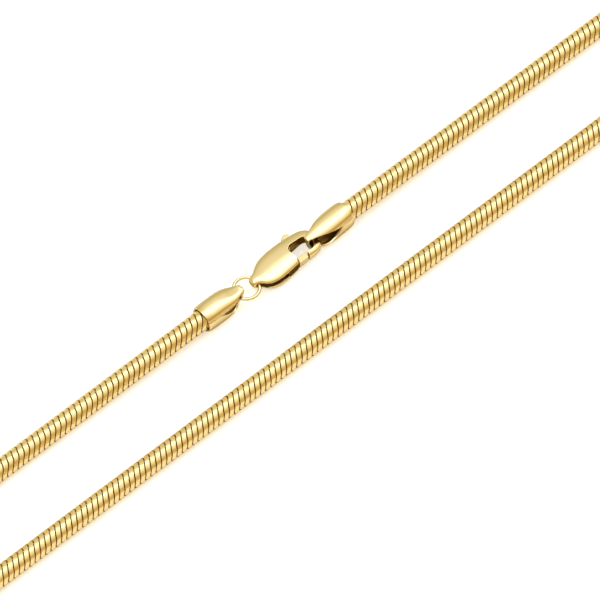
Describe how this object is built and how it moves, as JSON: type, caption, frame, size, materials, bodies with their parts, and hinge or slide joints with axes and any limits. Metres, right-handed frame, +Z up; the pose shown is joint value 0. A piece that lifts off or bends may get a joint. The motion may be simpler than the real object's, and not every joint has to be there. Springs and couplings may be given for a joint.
{
  "type": "snake chain necklace",
  "caption": "Round gold snake chain necklace laid as a long closed loop, with folded end caps, a jump ring and a lobster clasp with a sprung lever.",
  "frame": {"origin": "middle of the necklace's loop, on the surface that it lies on", "axes": "+X along the two strands, towards the cap that the clasp hooks; +Y towards the strand with the clasp; +Z up"},
  "size_m": [0.2372, 0.0268, 0.0039],
  "materials": {
    "chain_gold": "polished gold, drawn into narrow rounded bands",
    "polished_gold": "mirror polished gold"
  },
  "bodies": {
    "necklace": {"snake_chain": "chain_gold", "cap_ring_side": "polished_gold", "cap_hook_side": "polished_gold", "jump_ring": "polished_gold", "clasp_body": "polished_gold", "clasp_pin": "polished_gold"},
    "lever": {"clasp_lever": "polished_gold"}
  },
  "joints": [
    {"name": "lever_hinge", "type": "hinge", "parent": "necklace", "child": "lever", "pos_m": [0.00122, 0.00565, 0.00155], "axis": [0, 0, 1], "range_deg": [0, 20], "stiffness_Nm_per_rad": 0.002, "springref_deg": -5.73}
  ]
}
